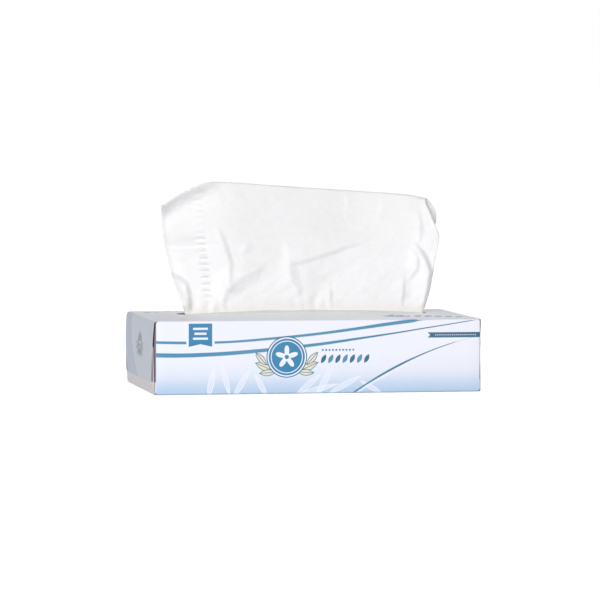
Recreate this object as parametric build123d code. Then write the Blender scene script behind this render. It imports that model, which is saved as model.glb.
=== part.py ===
from build123d import *
import os

os.makedirs("parts", exist_ok=True)

# Flat tissue box. X runs along its length, the front faces -Y and the base rests on Z = 0.

# Carton: outside sizes, board and folds
carton_length = 232.4
carton_depth = 120.0
carton_height = 51.0
board = 0.5
fold_inside = 0.5
glue_flap = 16.0
seam_edge = 0.6

# Top panel: flat along its folds, swelling over the stack between them
crown_height = 2.4
crown_rim = 2.0
crown_place_shares = (-1, -0.72, 0, 0.72, 1)
crown_height_shares = (0, 0.86, 1, 0.86, 0)

# Slot in the top panel, with the nicks that its torn perforation leaves
slot_end_margin = 26.0
slot_width = 36.0
nick_radius = 0.45
nick_count = 36

# End flaps, counted from the inside out: two dust flaps, the bottom flap and the outer flap
flap_gap = 0.2
corner_gap = 0.3
dust_length = 46.0
dust_taper = 7.0
dust_corner = 5.0
bottom_flap = 33.0
bottom_taper = 3.5
bottom_corner = 3.0
outer_end = 8.5
outer_taper = 10.0
outer_corner = 2.5
outer_bow = 1.8
outer_straight = 1.5
outer_glued = 6.0

# Clear film glued under the slot, with a slit along its middle
film = 0.06
film_gap = 0.05
film_margin = 9.0
film_corner = 4.0
slit_end_gap = 1.0
slit_width = 1.4

# Stack of interfolded sheets, each folded once across its middle
stack_end_gap = 13.2
stack_side_gap = 6.75
fold_bulk = 1.5
stack_top_gap = 2.3
stack_crown = 0.6
stack_side_bow = 1.2

# Sheet that stands up through the slit and rolls over at the top
sheet = 0.4
seat_gap = 0.15
base_bend = 1.2
top_bend = 4.0
neck_gap_left = 3.9
neck_gap_right = 0.8
rise_left_share = 0.46
rise_right_share = 0.382
back_drop_share = 0.314
left_edge_shares = ((-0.92, 0.29), (-0.97, 0.6), (-0.985, 0.86))
left_corner_shares = ((-0.985, 0.86), (-0.65, 1.09))
right_edge_shares = ((0.938, 0.27), (0.971, 0.64), (0.957, 0.79))
right_corner_shares = ((0.957, 0.79), (0.84, 1.0))
neck_share = 0.02
tuck_share = 0.4

# One overrun serves all cuts
overrun = 20.0

# Places that follow from the sizes
fold_outside = fold_inside + board
fold_middle = fold_inside + board / 2
half_length = carton_length / 2
half_depth = carton_depth / 2
panel_underside = carton_height - board
bottom_face = half_length - board
dust_face = bottom_face - board - flap_gap
tube_half = dust_face - fold_outside
crown_half_width = half_depth - fold_outside - crown_rim
slot_length = carton_length - 2 * slot_end_margin
slit_length = slot_length - 2 * slit_end_gap
stack_top = panel_underside - stack_top_gap
half_stack = half_depth - stack_side_gap
half_sheet = half_length - stack_end_gap
sheet_length = 4 * half_stack - 2 * fold_bulk
rise_left = rise_left_share * sheet_length
rise_right = rise_right_share * sheet_length
back_drop = back_drop_share * sheet_length


def folded_board(plane, points, half_width):
    """Board that follows a line of folds drawn on a plane and runs as far to both sides of it."""
    with BuildPart() as folded:
        with BuildSketch(plane):
            with BuildLine():
                FilletPolyline(*points, radius=fold_middle)
            trace(line_width=board)
        extrude(amount=half_width, both=True)
    return folded.part


def end_outline(root, free_corners, corner):
    """A flap's outline as a cutting block that runs along X: its root, then its rounded free corners."""
    with BuildPart() as block:
        with BuildSketch(Plane.YZ) as outline:
            Polygon(*root, *free_corners, align=None)
            free = [outline.vertices().sort_by_distance(point)[0] for point in free_corners]
            fillet(free, radius=corner)
        extrude(amount=half_length + overrun)
    return block.part


def crowned_plate(underside, thickness):
    """The top panel's swelling form between its straight edges, at any level and thickness."""
    sections = []
    for place, height in zip(crown_place_shares, crown_height_shares):
        # A parabola's middle control point stands twice as high as its crest.
        control = 2 * crown_height * height
        with BuildSketch(Plane.YZ.offset(place * tube_half)) as section:
            with BuildLine():
                for level in (underside, underside + thickness):
                    Bezier((-crown_half_width, level), (0, level + control), (crown_half_width, level))
                for side in (-crown_half_width, crown_half_width):
                    Line((side, underside), (side, underside + thickness))
            make_face()
        sections.append(section.sketch)
    return loft(sections)


def slot_block():
    """The slot's cutting block, whose outline leaves the nicks standing."""
    with BuildPart() as block:
        with BuildSketch(Plane.XY.offset(panel_underside - overrun)) as outline:
            SlotOverall(slot_length, slot_width)
            edge = outline.wire()
            with Locations(*[edge @ (i / nick_count) for i in range(nick_count)]):
                Circle(nick_radius, mode=Mode.SUBTRACT)
        extrude(amount=2 * overrun)
    return block.part


def carton_tube():
    """Glue flap, bottom, front, top and back panels, the glue flap inside the back panel."""
    front_line = [
        (half_depth - board - board / 2, glue_flap),
        (half_depth - board - board / 2, board / 2),
        (board / 2 - half_depth, board / 2),
        (board / 2 - half_depth, carton_height - board / 2),
        (-crown_half_width, carton_height - board / 2),
    ]
    back_line = [
        (crown_half_width, carton_height - board / 2),
        (half_depth - board / 2, carton_height - board / 2),
        (half_depth - board / 2, seam_edge),
    ]
    front = folded_board(Plane.YZ, front_line, tube_half)
    back = folded_board(Plane.YZ, back_line, tube_half)
    top = crowned_plate(panel_underside, board) - slot_block()
    return front + back + top


def dust_flap(side):
    """A flap from the front (side -1) or back (side 1) panel, folded in first."""
    line = [
        (tube_half - fold_outside, side * (half_depth - board / 2)),
        (dust_face - board / 2, side * (half_depth - board / 2)),
        (dust_face - board / 2, side * (half_depth - dust_length)),
    ]
    root = carton_height / 2 - fold_outside - corner_gap
    middle = carton_height / 2
    plate = folded_board(Plane.XY.offset(middle), line, root)
    edge = side * (half_depth - dust_length)
    hinge = [
        (side * (half_depth - fold_outside), middle + root),
        (side * half_depth, middle + root),
        (side * half_depth, middle - root),
        (side * (half_depth - fold_outside), middle - root),
    ]
    free = [(edge, middle - root + dust_taper), (edge, middle + root - dust_taper)]
    return plate & end_outline(hinge, free, dust_corner)


def bottom_end_flap():
    """The flap that folds up from the bottom panel over the dust flaps."""
    line = [
        (tube_half, board / 2),
        (bottom_face - board / 2, board / 2),
        (bottom_face - board / 2, bottom_flap),
    ]
    root = half_depth - board - fold_outside - corner_gap
    plate = folded_board(Plane.XZ, line, root)
    hinge = [(root, fold_outside), (root, 0), (-root, 0), (-root, fold_outside)]
    free = [(bottom_taper - root, bottom_flap), (root - bottom_taper, bottom_flap)]
    return plate & end_outline(hinge, free, bottom_corner)


def outer_flap():
    """The flap that folds down from the top panel, bows out and is glued over the bottom flap."""
    fold_end = carton_height - fold_outside - outer_straight
    glue_top = outer_end + outer_glued
    line = [
        (tube_half, carton_height - board / 2),
        (half_length - board / 2, carton_height - board / 2),
        (half_length - board / 2, fold_end),
    ]
    root = half_depth - fold_outside - corner_gap
    plate = folded_board(Plane.XZ, line, root)
    middle = (fold_end + glue_top) / 2
    with BuildPart() as bowed:
        with BuildSketch(Plane.XZ):
            with BuildLine():
                for face in (bottom_face, half_length):
                    Bezier((face, fold_end), (face + 2 * outer_bow, middle), (face, glue_top))
                for level in (fold_end, glue_top):
                    Line((bottom_face, level), (half_length, level))
            make_face()
        extrude(amount=root, both=True)
        with BuildSketch(Plane.XZ):
            with Locations((bottom_face, outer_end)):
                Rectangle(board, outer_glued, align=Align.MIN)
        extrude(amount=root, both=True)
    hinge_level = carton_height - fold_outside
    hinge = [(root, hinge_level), (root, carton_height), (-root, carton_height), (-root, hinge_level)]
    free = [(outer_taper - root, outer_end), (root - outer_taper, outer_end)]
    return (plate + bowed.part) & end_outline(hinge, free, outer_corner)


def carton():
    """One folded sheet of board: the tube and, at each end, the four flaps that close it."""
    closed_end = dust_flap(-1) + dust_flap(1) + bottom_end_flap() + outer_flap()
    return carton_tube() + closed_end + mirror(closed_end, about=Plane.YZ)


def slot_film():
    """Film that follows the top panel's underside, slit for the sheets to pass."""
    with BuildPart() as outline:
        with BuildSketch(Plane.XY.offset(panel_underside - overrun)):
            RectangleRounded(slot_length + 2 * film_margin, slot_width + 2 * film_margin, film_corner)
            SlotOverall(slit_length, slit_width, mode=Mode.SUBTRACT)
        extrude(amount=2 * overrun)
    return crowned_plate(panel_underside - film_gap - film, film) & outline.part


def tissue_stack():
    """The stack under the film: flat below, with the soft sides and top of folded sheets."""
    shoulder = stack_top - stack_crown
    with BuildPart() as stack:
        with BuildSketch(Plane.YZ):
            with BuildLine():
                Line((-half_stack, board), (half_stack, board))
                for side in (-1, 1):
                    ThreePointArc(
                        (side * half_stack, board),
                        (side * (half_stack + stack_side_bow), (board + shoulder) / 2),
                        (side * half_stack, shoulder),
                    )
                ThreePointArc((-half_stack, shoulder), (0, stack_top), (half_stack, shoulder))
            make_face()
        extrude(amount=half_sheet, both=True)
    return stack.part


def sheet_section(place, rise):
    """The standing sheet's side view at one end: tail on the stack, slit, top roll and back layer."""
    tail_level = stack_top + seat_gap + sheet / 2
    top = carton_height + rise
    tail = sheet_length - back_drop - 2 * top_bend - (top - tail_level)
    with BuildSketch(Plane.YZ.offset(place)) as section:
        with BuildLine():
            FilletPolyline((tail, tail_level), (0, tail_level), (0, top - top_bend), radius=base_bend)
            ThreePointArc((0, top - top_bend), (top_bend, top), (2 * top_bend, top - top_bend))
            Line((2 * top_bend, top - top_bend), (2 * top_bend, top - back_drop))
        trace(line_width=sheet)
    return section.sketch


def popup_tissue():
    """The sheet that stands up, gathered where it passes the slit, its top corners turned back."""
    rise = (rise_left + rise_right) / 2
    tail_top = stack_top + seat_gap + sheet + seat_gap

    def at(shares):
        return (shares[0] * half_sheet, carton_height + shares[1] * rise)

    def beyond(shares):
        start, end = (Vector(*at(share)) for share in shares)
        return end + (end - start).normalized() * overrun

    neck_level = carton_height + neck_share * rise
    left_neck = (neck_gap_left - slit_length / 2, neck_level)
    right_neck = (slit_length / 2 - neck_gap_right, neck_level)
    left = [left_neck] + [at(shares) for shares in left_edge_shares]
    right = [right_neck] + [at(shares) for shares in right_edge_shares]
    left_tip = beyond(left_corner_shares)
    right_tip = beyond(right_corner_shares)
    tuck = tail_top + tuck_share * (neck_level - tail_top)
    with BuildPart() as outline:
        with BuildSketch(Plane.XZ):
            with BuildLine():
                Spline(*left)
                Polyline(left[-1], left_tip, right_tip, right[-1])
                Spline(*right)
                for side, neck in ((-half_sheet, left_neck), (half_sheet, right_neck)):
                    Polyline((side, stack_top), (side, tail_top), (neck[0], tuck), neck)
                Line((-half_sheet, stack_top), (half_sheet, stack_top))
            make_face()
        extrude(amount=sheet_length, both=True)
    ends = [sheet_section(-half_sheet, rise_left), sheet_section(half_sheet, rise_right)]
    return loft(ends, ruled=True) & outline.part


pieces = {
    "carton": carton(),
    "slot_film": slot_film(),
    "tissue_stack": tissue_stack(),
    "popup_tissue": popup_tissue(),
}
for name, piece in pieces.items():
    piece.label = name
    export_step(piece, f"parts/{name}.step")
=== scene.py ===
import math

import bmesh
import bpy
import numpy as np
from bpy.props import FloatProperty, FloatVectorProperty, IntProperty, PointerProperty
from mathutils import Matrix, Vector


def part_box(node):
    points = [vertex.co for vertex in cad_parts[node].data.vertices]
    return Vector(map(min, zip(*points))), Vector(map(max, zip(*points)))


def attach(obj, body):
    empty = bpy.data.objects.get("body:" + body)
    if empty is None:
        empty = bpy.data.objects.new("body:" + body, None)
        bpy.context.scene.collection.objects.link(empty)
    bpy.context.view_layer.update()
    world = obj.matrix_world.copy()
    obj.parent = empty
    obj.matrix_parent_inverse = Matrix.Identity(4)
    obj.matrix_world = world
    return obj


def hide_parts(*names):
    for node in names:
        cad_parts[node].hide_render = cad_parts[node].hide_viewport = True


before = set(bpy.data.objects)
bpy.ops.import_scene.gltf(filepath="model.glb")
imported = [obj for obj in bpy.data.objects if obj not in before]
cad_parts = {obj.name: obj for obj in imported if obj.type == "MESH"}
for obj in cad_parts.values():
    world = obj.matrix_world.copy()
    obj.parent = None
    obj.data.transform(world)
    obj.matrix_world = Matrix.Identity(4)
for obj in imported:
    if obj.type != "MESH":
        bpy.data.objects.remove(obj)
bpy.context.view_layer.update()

bl_info = {
    "name": "Tissue Box",
    "version": (1, 0, 0),
    "blender": (4, 5, 0),
    "location": "View3D > Sidebar > Tissue Box",
    "description": "Builds a folded tissue carton with its film, stack and standing sheet",
    "category": "Add Mesh",
}

MM = 0.001
CARTON_LOW, CARTON_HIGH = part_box("carton")
FILM_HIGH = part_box("slot_film")[1]
STACK_LOW, STACK_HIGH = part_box("tissue_stack")
FLAP_BOW = 1.8 * MM
# How far the inner flaps reach, and the height at which the outer flaps end
SEAM_FLAP = 15 * MM
DUST_FLAP = 45 * MM
BOTTOM_FLAP = 33 * MM
OUTER_FLAP_END = 8.5 * MM
FILM_THICKNESS = 0.06 * MM


def srgb(red, green, blue):
    """A printed colour, given as 0 to 255 in each channel, as the linear values that shaders take."""
    return [((c / 255 + 0.055) / 1.055) ** 2.4 if c > 10 else c / 3294.6 for c in (red, green, blue)]


def size(name, default, description, low=0):
    return FloatProperty(name=name, description=description, default=default, min=low, unit="LENGTH", precision=5)


def angle(name, degrees, description):
    return FloatProperty(name=name, description=description, default=math.radians(degrees), subtype="ANGLE")


def colour(name, default, description):
    return FloatVectorProperty(
        name=name, description=description, default=srgb(*default), size=3, min=0, max=1, subtype="COLOR"
    )


class CartonSettings(bpy.types.PropertyGroup):
    """Sizes and printing colours of the folded carton."""

    length: size("Length", CARTON_HIGH.x - CARTON_LOW.x - 2 * FLAP_BOW, "Length over the outer flaps' folds")
    depth: size("Depth", CARTON_HIGH.y - CARTON_LOW.y, "Front panel to back panel")
    height: size("Height", 51 * MM, "Height at the folds of the top panel")
    board: size("Board", 0.5 * MM, "Thickness of the paperboard")
    fold: size("Fold radius", 1.0 * MM, "Outer radius of each fold")
    crown: size("Crown", 3.2 * MM, "How far the top panel swells over the stack")
    bow: size("Flap bow", FLAP_BOW, "How far an outer end flap stands out at its middle")
    slot_margin: size("Slot margin", 26 * MM, "From each end of the carton to the slot")
    slot_width: size("Slot width", 36 * MM, "Width of the oval slot")
    nick: size("Nick", 1.0 * MM, "How far a torn perforation stands into the slot")
    paper_white: colour("Paper white", (238, 240, 250), "Unprinted face of the board")
    top_white: colour("Top white", (247, 250, 255), "Top panel along its middle")
    top_tint: colour("Top tint", (231, 233, 241), "Top panel towards its ends")
    # Partly print and partly painted shade: the end flaps' pale blue is darkened for their side turned from the light
    end_tint_and_shade: colour("End tint", (199, 206, 220), "Tint of the outer end flaps")
    end_deep: colour("End deep tint", (181, 192, 210), "Field below the arc on the outer end flaps")
    foot_blue: colour("Foot blue", (172, 199, 226), "Where the tint is deepest, at the foot of the long panels")
    # Painted shade on the underside of the bottom fold
    foot_fold_shade: colour("Foot line", (140, 158, 178), "Crease along the foot of the long panels")
    stripe_blue: colour("Stripe blue", (78, 140, 178), "The two long stripes")
    badge_blue: colour("Badge blue", (54, 130, 174), "Badge and emblem")
    arc_blue: colour("Arc blue", (62, 118, 148), "The long arc")
    teal: colour("Teal", (44, 102, 132), "Notched strip, leaves and rims")
    slate: colour("Slate", (112, 126, 138), "Emblem on the end flaps")
    flap_white: colour("Flap white", (232, 229, 232), "Unprinted outer face of the inner flaps")
    # Painted shade: the dark recess between each outer end flap and the fold of the long panels
    recess_shade: colour("Bleed", (142, 132, 146), "Dark bleed down the sides of the inner flaps")
    cream: colour("Cream", (226, 222, 200), "Leaves beside the emblem")
    raw_board: colour("Raw board", (220, 214, 209), "Inner face and cut edges of the board")


class FilmSettings(bpy.types.PropertyGroup):
    """Sizes and colour of the clear film under the slot."""

    slit: size("Slit", 2.6 * MM, "Width of the slit where the sheet passes")
    lift: size("Lift", 0.9 * MM, "How far the sheet draws the film up at the slit")
    tint: colour("Tint", (236, 238, 242), "Colour of the film")
    clearness: FloatProperty(name="Alpha", description="Opacity of the film", default=0.18, min=0, max=1)


class StackSettings(bpy.types.PropertyGroup):
    """Layers and colour of the stack of folded sheets."""

    layers: IntProperty(name="Layers", description="Folded layers that show at the sides", default=47, min=4)
    paper: colour("Paper", (244, 243, 240), "Colour of the stacked sheets")


class SheetSettings(bpy.types.PropertyGroup):
    """Sizes and colour of the sheet that stands up through the slit."""

    width: size("Width", 206 * MM, "Width of the sheet laid flat")
    length: size("Length", 210 * MM, "Length of the sheet laid flat")
    thickness: size("Thickness", 0.3 * MM, "Two plies with their loft")
    spacing: size("Spacing", 1.0 * MM, "Distance between the mesh's points")
    paper: colour("Paper", (252, 251, 252), "Colour of the tissue")


class StageSettings(bpy.types.PropertyGroup):
    """Camera and floor."""

    azimuth: angle("Azimuth", -11.538, "Camera bearing")
    elevation: angle("Elevation", 3.157, "Camera height")
    roll: angle("Roll", 0.255, "Camera roll")
    distance: size("Distance", 2565.7 * MM, "Camera to the point it looks at")
    aim_x: size("Aim X", -1.623 * MM, "Point the camera looks at", low=-1)
    aim_z: size("Aim Z", 61.608 * MM, "Point the camera looks at")
    lens: FloatProperty(name="Lens", description="Focal length", default=217.45, unit="CAMERA")
    floor: colour("Floor", (240, 240, 240), "Colour of the floor")


class Wire:
    """The output of a shader node. A formula of wires and numbers adds the nodes that work it out."""

    def __init__(self, shade, socket):
        self.shade, self.socket = shade, socket

    def __add__(self, other):
        return self.shade.math("ADD", self, other)

    def __sub__(self, other):
        return self.shade.math("SUBTRACT", self, other)

    def __rsub__(self, other):
        return self.shade.math("SUBTRACT", other, self)

    def __mul__(self, other):
        return self.shade.math("MULTIPLY", self, other)

    def __abs__(self):
        return self.shade.math("ABSOLUTE", self)

    __radd__, __rmul__ = __add__, __mul__


class Shade:
    """Shader nodes under construction: each call adds a node and returns its output, which the next call takes."""

    def __init__(self, owner):
        owner.use_nodes = True
        self.owner, self.tree = owner, owner.node_tree

    def put(self, socket, value):
        if isinstance(value, Wire):
            self.tree.links.new(value.socket, socket)
        else:
            socket.default_value = (*value, 1) if socket.type == "RGBA" else value

    def node(self, kind, inputs=(), output=0, **settings):
        """Adds a node. Its inputs are given in order, or by number or name."""
        made = self.tree.nodes.new("ShaderNode" + kind)
        for name, value in settings.items():
            setattr(made, name, value)
        for key, value in inputs.items() if isinstance(inputs, dict) else enumerate(inputs):
            self.put(made.inputs[key], value)
        return Wire(self, made.outputs[output])

    def math(self, operation, *values):
        return self.node("Math", values, operation=operation)

    def least(self, a, b):
        return self.math("MINIMUM", a, b)

    def most(self, a, b):
        return self.math("MAXIMUM", a, b)

    def distance(self, a, b):
        return self.math("SQRT", a * a + b * b)

    def fade(self, value, start, end, low=0.0, high=1.0):
        """Low where value is at start and high where it is at end, held beyond both."""
        return self.node("MapRange", (value, start, end, low, high), clamp=True)

    def mix(self, share, a, b):
        return self.node("Mix", {0: share, 6: a, 7: b}, 2, data_type="RGBA")

    def mix_shaders(self, share, a, b):
        return self.node("MixShader", (share, a, b))

    def curve(self, value, points):
        """Reads a curve through points at a value from 0 to 1."""
        wire = self.node("FloatCurve", {"Value": value})
        mapping = wire.socket.node.mapping
        line = mapping.curves[0]
        for place, point in zip(line.points, (points[0], points[-1])):
            place.location = point
        for point in points[1:-1]:
            line.points.new(*point)
        mapping.update()
        return wire

    def noise(self, vector, scale, detail, roughness=0.5):
        inputs = {"Vector": vector, "Scale": scale, "Detail": detail, "Roughness": roughness}
        return self.node("TexNoise", inputs, "Fac")

    def place(self):
        """Object coordinates in millimetres: the vector, then its three parts."""
        coordinates = self.node("TexCoord", (), "Object")
        vector = self.node("VectorMath", {0: coordinates, "Scale": 1 / MM}, operation="SCALE")
        parts = self.node("SeparateXYZ", (vector,)).socket.node.outputs
        return (vector, *(Wire(self, part) for part in parts))

    def stretched(self, vector, scale):
        return self.node("Mapping", {"Vector": vector, "Scale": scale})

    def bump(self, height, distance, strength):
        return self.node("Bump", {"Height": height, "Distance": distance, "Strength": strength})

    def surface(self, **sockets):
        return self.node("BsdfPrincipled", {name.replace("_", " "): value for name, value in sockets.items()})

    def finish(self, shader):
        out = self.tree.nodes.new("ShaderNodeOutputMaterial")
        self.put(out.inputs["Surface"], shader)
        return self.owner


def new_shade(name):
    """A new material, with no nodes yet."""
    shade = Shade(bpy.data.materials.new(name))
    shade.tree.nodes.clear()
    return shade


def dimmed(paint, share):
    return tuple(c * share for c in paint)


def start_piece(name, add, **settings):
    """Adds an object with nothing else selected, and names it."""
    bpy.ops.object.select_all(action="DESELECT")
    add(**settings)
    piece = bpy.context.object
    piece.name = piece.data.name = name
    return piece


def outline_piece(name, outline, fill):
    """A circle of points moved onto an outline."""
    piece = start_piece(name, bpy.ops.mesh.primitive_circle_add, vertices=len(outline), radius=1, fill_type=fill)
    for point, place in zip(piece.data.vertices, outline):
        point.co = place
    piece.data.update()
    return piece


def select_only(piece):
    bpy.ops.object.select_all(action="DESELECT")
    piece.select_set(True)
    bpy.context.view_layer.objects.active = piece


def edit_mesh(piece, action):
    """Enters edit mode with all of the mesh selected, or none."""
    select_only(piece)
    bpy.ops.object.mode_set(mode="EDIT")
    bpy.ops.mesh.select_mode(type="VERT")
    bpy.ops.mesh.select_all(action=action)


def leave_mesh():
    """Turns all faces the same way and leaves edit mode."""
    bpy.ops.mesh.select_all(action="SELECT")
    bpy.ops.mesh.normals_make_consistent(inside=False)
    bpy.ops.object.mode_set(mode="OBJECT")


def pick(piece, test):
    """Selects, in edit mode, the points that pass a test of their place, with the edges between them."""
    mesh = bmesh.from_edit_mesh(piece.data)
    bpy.ops.mesh.select_all(action="DESELECT")
    for point in mesh.verts:
        point.select_set(bool(test(point.co)))
    mesh.select_flush(True)
    bmesh.update_edit_mesh(piece.data)


def extrude_edges(steps, after=None):
    """Draws the selected edges out by each step in turn."""
    for number, step in enumerate(steps):
        bpy.ops.mesh.extrude_edges_indiv()
        bpy.ops.transform.translate(value=step)
        if after:
            after(number)


def fold_steps(start, end, radius, segments=4):
    """Steps round a quarter fold that begins along one direction and ends along another."""
    start, end = Vector(start), Vector(end)
    turns = [math.pi / 2 * i / segments for i in range(segments + 1)]
    places = [radius * (math.sin(a) * start + (1 - math.cos(a)) * end) for a in turns]
    return [b - a for a, b in zip(places, places[1:])]


def panel_steps(direction, reach, count, rim=0.0):
    """Even steps across a panel, with a narrow first and last row where it meets its flaps."""
    direction = Vector(direction)
    edge = [direction * rim] * (rim > 0)
    return edge + [direction * ((reach - 2 * rim) / count)] * count + edge


def extrude_tapered(direction, reach, rows, loss, axis, level=0.0):
    """Draws a flap out row by row, each narrower than the last along an axis, about a level."""
    shares = [1 - loss * i / rows for i in range(rows + 1)]

    def narrow(number):
        ratio = shares[number + 1] / shares[number]
        bpy.ops.transform.resize(value=[ratio if a == axis else 1 for a in "XYZ"], center_override=(0, 0, level))

    extrude_edges(panel_steps(direction, reach, rows), narrow)


def ring_piece(name, inner, outer, rings):
    """A panel round an opening: the opening's outline drawn out, ring by ring, to the panel's own outline."""
    piece = outline_piece(name, inner, "NOTHING")
    edit_mesh(piece, "SELECT")
    for _ in range(rings):
        bpy.ops.mesh.extrude_edges_indiv()
    bpy.ops.object.mode_set(mode="OBJECT")
    count = len(inner)
    for ring in range(rings + 1):
        share = (ring / rings) ** 1.3
        for i in range(count):
            piece.data.vertices[ring * count + i].co = Vector(inner[i]).lerp(Vector(outer[i]), share)
    piece.data.update()
    return piece


def apply_modifier(piece, kind, **settings):
    select_only(piece)
    made = piece.modifiers.new(kind.title(), kind)
    for name, value in settings.items():
        setattr(made, name, value)
    bpy.ops.object.modifier_apply(modifier=made.name)


def smooth(piece, degrees):
    select_only(piece)
    bpy.ops.object.shade_smooth_by_angle(angle=math.radians(degrees))


def settle(piece, slot_name, *nodes):
    """Gives a finished piece its body and hides the nodes that it stands for. Its slot name is not used."""
    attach(piece, "root")
    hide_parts(*nodes)


def crown_at(carton, x, y):
    """How far the top panel stands above its folds at a place."""
    flat_rim = 2 * MM
    half_x = carton.length / 2 - 2 * carton.board - carton.fold
    half_y = carton.depth / 2 - carton.fold - flat_rim
    along = max(0.0, 1 - abs(x / half_x) ** 2.2)
    across = max(0.0, 1 - (y / half_y) ** 2)
    return carton.crown * along * across


def slot_outlines(carton, half_x, half_y, hinge_y):
    """The slot's outline with its torn nicks, and the top panel's outline point for point."""
    half_slot = carton.length / 2 - carton.slot_margin
    radius = carton.slot_width / 2
    straight = half_slot - radius
    nick_half, nick_count, end_room = 0.7 * MM, 16, 5 * MM
    pitch = 2 * (straight - end_room) / (nick_count - 1)
    nicks = [pitch * (i - (nick_count - 1) / 2) for i in range(nick_count)]
    places = [n + d for n in nicks for d in (-nick_half, 0, nick_half)] + [n + pitch / 2 for n in nicks[:-1]]
    places = sorted([-straight, straight] + places)
    torn = set(nicks)
    arc, top_share, side = 20, 5, 10
    side_rows = [half_y, hinge_y] + [hinge_y * (1 - 2 * i / (side - 2)) for i in range(1, side - 2)]
    side_rows += [-hinge_y, -half_y]
    inner, outer = [], []
    for sign in (1, -1):
        for x in places[:-1]:
            inner.append((sign * x, sign * (radius - carton.nick * (x in torn)), carton.height))
            outer.append((sign * x, sign * half_y, carton.height))
        for i in range(arc):
            a = math.pi / 2 - math.pi * i / arc
            inner.append((sign * (straight + radius * math.cos(a)), sign * radius * math.sin(a), carton.height))
            if i < top_share:
                x, y = straight + (half_x - straight) * i / top_share, half_y
            elif i > arc - top_share:
                x, y = straight + (half_x - straight) * (arc - i) / top_share, -half_y
            else:
                x, y = half_x, side_rows[i - top_share]
            outer.append((sign * x, sign * y, carton.height))
    return inner, outer


def model_carton(carton):
    """Draws the carton out of its top panel, panel by panel and flap by flap, swells it and gives it its board."""
    gap, glue_room, near = 0.3 * MM, 0.05 * MM, 0.01 * MM
    fold, height, half_length = carton.fold, carton.height, carton.length / 2
    half_x = half_length - 2 * carton.board - 0.2 * MM - fold
    half_y = carton.depth / 2 - fold
    hinge_y = half_y - gap
    piece = ring_piece("carton_folded", *slot_outlines(carton, half_x, half_y, hinge_y), rings=9)
    edit_mesh(piece, "DESELECT")
    down, up, front, back = (0, 0, -1), (0, 0, 1), (0, -1, 0), (0, 1, 0)
    wall = height - 2 * fold
    base = 2 * half_y - carton.board - glue_room
    pick(piece, lambda p: p.y < near - half_y)
    extrude_edges(fold_steps(front, down, fold) + panel_steps(down, wall, 10, gap))
    extrude_edges(fold_steps(down, back, fold) + panel_steps(back, base, 10, gap))
    extrude_edges(fold_steps(back, up, fold) + panel_steps(up, SEAM_FLAP, 3))
    pick(piece, lambda p: p.y > half_y - near and p.z > height - near)
    extrude_edges(fold_steps(back, down, fold) + panel_steps(down, wall, 10, gap))
    for side in (-1, 1):
        out = (side, 0, 0)
        at_end = lambda p: half_x - near < side * p.x < half_x + near
        # Dust flaps, from the front and back panels
        for face, inward in ((-1, back), (1, front)):
            pick(piece, lambda p: at_end(p) and face * p.y > carton.depth / 2 - near
                 and fold + gap - near < p.z < height - fold - gap + near)
            extrude_edges(fold_steps(out, inward, fold))
            extrude_tapered(inward, DUST_FLAP, rows=6, loss=0.29, axis="Z", level=height / 2)
        # Bottom flap
        pick(piece, lambda p: at_end(p) and p.z < near and -hinge_y - near < p.y < half_y - carton.board)
        extrude_edges(panel_steps(out, half_length - carton.board - fold - half_x, 1))
        extrude_edges(fold_steps(out, up, fold))
        extrude_tapered(up, BOTTOM_FLAP - fold, rows=6, loss=0.06, axis="Y")
        # Outer flap, its fold rounder at the left end
        top_fold = (2.1 if side < 0 else 1.3) * fold
        pick(piece, lambda p: at_end(p) and p.z > height - near and abs(p.y) < hinge_y + near)
        extrude_edges(panel_steps(out, half_length + glue_room - top_fold - half_x, 1))
        extrude_edges(fold_steps(out, down, top_fold, 7))
        extrude_tapered(down, height - top_fold - OUTER_FLAP_END, rows=14, loss=0.17, axis="Y")
    leave_mesh()
    if next(f for f in piece.data.polygons if f.center.y < -half_y - fold / 2).normal.y > 0:
        piece.data.flip_normals()
    # The two inner layers at each end are not printed
    bare_slot, inner_layers = 2, half_length - carton.board / 2
    for face in piece.data.polygons:
        behind = half_x + 0.3 * fold < abs(face.center.x) < inner_layers and face.center.z < height - 2.2 * fold
        if behind and abs(face.normal.x) > 0.5:
            face.material_index = bare_slot
    swell_carton(piece, carton, half_y)
    # Each outer face's slot is followed by the raw board that Solidify gives its inner face and cut edges
    raw = raw_board_material(carton)
    for material in (print_material(carton), raw, bare_flap_material(carton), raw):
        piece.data.materials.append(material)
    apply_modifier(piece, "SOLIDIFY", thickness=carton.board, offset=-1, material_offset=1, material_offset_rim=1)
    smooth(piece, 40)
    return piece


def swell_carton(piece, carton, half_y):
    """The full stack lifts the top panel, and the glued end flaps bow outwards, most at the back."""
    flaps = carton.length / 2 - carton.board - 0.01 * MM
    outer = carton.length / 2 - 0.1 * MM
    for point in piece.data.vertices:
        p = point.co
        if p.z > carton.height - 0.01 * MM:
            p.z += crown_at(carton, p.x, p.y)
        elif abs(p.x) > flaps:
            lean = 0.62 + 0.38 * p.y / half_y if p.x < 0 else 0.5 + 0.5 * p.y / half_y
            # The right flap is pressed in along its front rim, above the bottom flap
            at_rim = 1 - float(ease(p.y + half_y, 0, 16 * MM))
            pressed = 0.55 * MM * at_rim * float(ease(p.z, BOTTOM_FLAP, 39 * MM)) * (p.x > outer)
            bow = carton.bow * lean * math.sin(math.pi * p.z / carton.height) ** 0.8
            p.x += math.copysign(bow, p.x) - pressed
    piece.data.update()


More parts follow.
